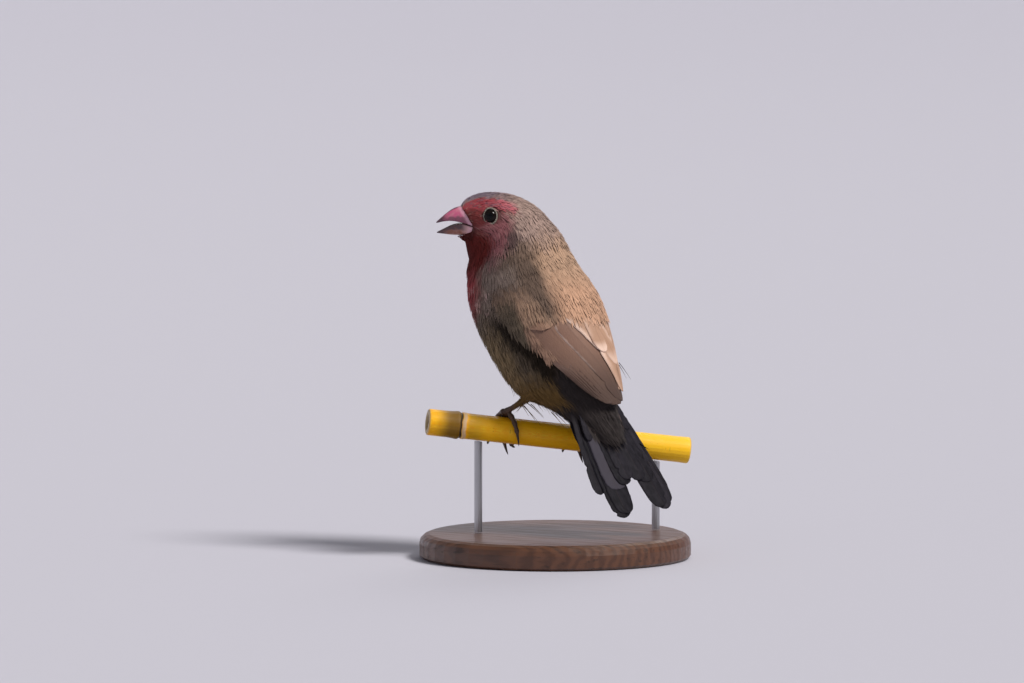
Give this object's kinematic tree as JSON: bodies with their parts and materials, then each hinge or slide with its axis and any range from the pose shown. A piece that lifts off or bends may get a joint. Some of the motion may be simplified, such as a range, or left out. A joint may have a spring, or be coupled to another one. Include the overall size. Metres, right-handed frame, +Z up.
{
  "type": "brown firefinch model",
  "caption": "Life-size still model of a small brown and crimson finch gripping a short cut length of reed, held above a round display base by slim rods.",
  "frame": {"origin": "centre of the underside of the stand's round base", "axes": "+Z up from the underside; the bird's breast faces -Y, its left side is +X, and its tail hangs towards +Y"},
  "size_m": [0.068, 0.068, 0.0912],
  "materials": {
    "plumage_back": "matt feathers, warm tan brown",
    "plumage_face": "matt feathers, crimson face under a grey brown crown",
    "plumage_neck": "matt feathers, grey brown with a crimson breast",
    "plumage_belly": "matt feathers, olive grey brown",
    "plumage_tail": "satin feathers, blackish",
    "bill_horn": "satin horn, pink with a dark ridge",
    "eye_black": "wet gloss",
    "leg_skin": "scaled skin, dark brown grey",
    "reed": "smooth yellow bark with a brown joint",
    "stand_wood": "oiled dark wood",
    "stand_steel": "brushed"
  },
  "bodies": {
    "root": {"bill_lower": "bill_horn", "bill_upper": "bill_horn", "eye_left": "eye_black", "eye_right": "eye_black", "foot_left": "leg_skin", "foot_right": "leg_skin", "head": "plumage_face", "leg_left": "leg_skin", "leg_right": "leg_skin", "neck": "plumage_neck", "perch_reed": "reed", "stand_base": "stand_wood", "stand_rod_left": "stand_steel", "stand_rod_right": "stand_steel", "tail": "plumage_tail", "thigh_left": "plumage_belly", "thigh_right": "plumage_belly", "torso": "plumage_belly", "wing_left": "plumage_back", "wing_right": "plumage_back"}
  },
  "joints": []
}
